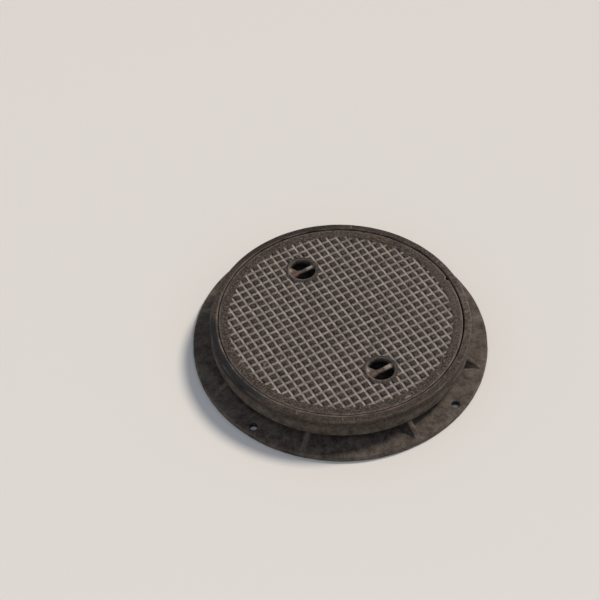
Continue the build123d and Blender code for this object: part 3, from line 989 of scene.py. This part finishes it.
def frame_piece(material):
    """The frame's casting: wall and flange's edge carried round, with flat faces, holes and gussets."""
    outer_rows, edge_rows = frame_profiles()
    angles = even_angles(ROUND_STEPS)
    wall, wall_faces = turned(outer_rows, angles)
    row = np.repeat(np.arange(len(outer_rows)), len(angles))
    edge, edge_faces = turned(edge_rows, angles)
    wall, edge = roughened(wall, 0.5 * MM, 31), roughened(edge, 0.8 * MM, 37)
    wall = worn_recess(wall, np.tile(angles, len(outer_rows)))
    uneven = waves(43, 24, 40 * MM, 200 * MM)(*wall[:, :2].T)
    high = wall[:, 2] > FRAME_TOP - 3 * MM
    wall[high, 2] -= 0.3 * MM * np.clip(0.6 + 0.4 * uneven[high], 0.02, 1)
    radius = np.hypot(*wall[:, :2].T)
    by_top = wall[:, 2] > FRAME_TOP - 6 * MM
    inner_edge = np.exp(-(((radius - RECESS_R - 1 * MM) / (1.6 * MM)) ** 2)) * by_top
    outer_edge = np.exp(-(((radius - FRAME_R + 1.2 * MM) / (1.6 * MM)) ** 2)) * by_top
    ripple = waves(47, 26, 25 * MM, 140 * MM)(*wall[:, :2].T)
    wear = np.clip((0.8 * inner_edge + 0.4 * outer_edge) * (0.6 + 0.5 * ripple), 0, 1)
    outside = (radius > BARREL_R - 2 * MM) & (wall[:, 2] < 90 * MM)
    cement = smooth((84 * MM - wall[:, 2]) / (14 * MM)) * outside
    cement = cement * (row < np.argmax(wall[:, 2].reshape(len(outer_rows), -1).max(1)))
    patches = [patch(wall, [wall_faces], wear=wear, cement=cement * BURIED_CEMENT),
               patch(edge, [edge_faces], cement=np.full(len(edge), BURIED_CEMENT))]
    count = len(angles)
    top = flange_face(edge[-count:, :2], wall[:count, :2], FLANGE_THICK, True, ANCHOR_HOLE_R + 1.2 * MM)
    base = flange_face(edge[:count, :2], wall[-count:, :2], 0.0, False, ANCHOR_HOLE_R)
    for points, triangles in (top, base):
        patches.append(patch(points, [triangles], cement=np.full(len(points), BURIED_CEMENT)))
    patches += [anchor_hole(place) for place in anchor_places()]
    for i in range(GUSSET_COUNT):
        rib = gusset(TURN / GUSSET_COUNT * i)
        rib["marks"]["cement"] = np.full(len(rib["points"]), BURIED_CEMENT)
        patches.append(rib)
    return add_piece("frame_casting", joined(patches), material, "frame", ["frame"])


# ---- studio -----------------------------------------------------------------------------------------
FLOOR_FLAT_R = 8.0
FLOOR_R = 40.0


def add_floor():
    """A round pale floor, flat near the cover. Far off its height grows with distance squared."""
    radius = np.concatenate([[0.01, 2, 4, 6], np.linspace(FLOOR_FLAT_R, FLOOR_R, 33)])
    height = 0.35 * np.clip(radius - FLOOR_FLAT_R, 0, None) ** 2 / (FLOOR_R - FLOOR_FLAT_R)
    angles = even_angles(FLOOR_STEPS)
    points, faces = turned(np.stack([radius, height], 1), angles, backwards=True)
    points = np.concatenate([points, [[0, 0, 0]]])
    first = np.arange(FLOOR_STEPS)
    hub = np.stack([np.full(FLOOR_STEPS, len(points) - 1), first, np.roll(first, -1)], 1)
    mesh = bpy.data.meshes.new("floor")
    mesh.from_pydata(points.tolist(), [], faces.tolist() + hub.tolist())
    mesh.polygons.foreach_set("use_smooth", np.ones(len(mesh.polygons), bool))
    mesh.materials.append(studio_floor_paint())
    floor = bpy.data.objects.new("floor", mesh)
    bpy.context.collection.objects.link(floor)


def add_lamp(name, kind, place, power, colour, **settings):
    """A lamp that faces the cover from a place; a sun's power is in W per square metre, an area's in W."""
    data = bpy.data.lights.new(name, kind)
    data.energy = power
    data.color = linear(colour)[:3]
    for key, value in settings.items():
        setattr(data, key, value)
    lamp = bpy.data.objects.new(name, data)
    place = Vector(place)
    lamp.matrix_world = Matrix.Translation(place) @ place.to_track_quat("Z", "Y").to_matrix().to_4x4()
    bpy.context.collection.objects.link(lamp)


def add_studio():
    """A soft key light on the +X side, as the light falls on the cover, and a wide pale surround."""
    add_floor()
    add_lamp("key", "SUN", (2.7, 0.3, 2.8), 2.45, "#fff3e4", angle=math.radians(12))
    add_lamp("fill", "AREA", (-0.6, -1.6, 3.6), 10, "#eef3ff", size=2.5)
    world = bpy.data.worlds.new("surround")
    world.use_nodes = True
    background = world.node_tree.nodes["Background"]
    background.inputs["Color"].default_value = linear("#dde6f5")
    background.inputs["Strength"].default_value = 0.36
    bpy.context.scene.world = world
    bpy.context.scene.view_settings.view_transform = "Standard"


def main():
    add_studio()
    cover_piece(street_iron())
    bar_steel, cup_steel = rolled_bar_steel(), pressed_cup_steel()
    for seed, (name, centre) in enumerate(POCKETS.items()):
        bar_piece(name, centre, bar_steel, 61 + seed, (1.6 - 1.3 * seed) * MM)
        cup_piece(name, centre, cup_steel, 71 + seed)
    frame_piece(frame_iron())
    rubber, zinc = moulded_rubber(), zinc_screw()
    carried_over = {"cushion_ring": rubber, "cup_seal_a": rubber, "cup_seal_b": rubber,
                    "cup_screws_a": zinc, "cup_screws_b": zinc}
    for name, material in carried_over.items():
        for material_slot in frame["nodes"][name].material_slots:
            material_slot.material = material


main()
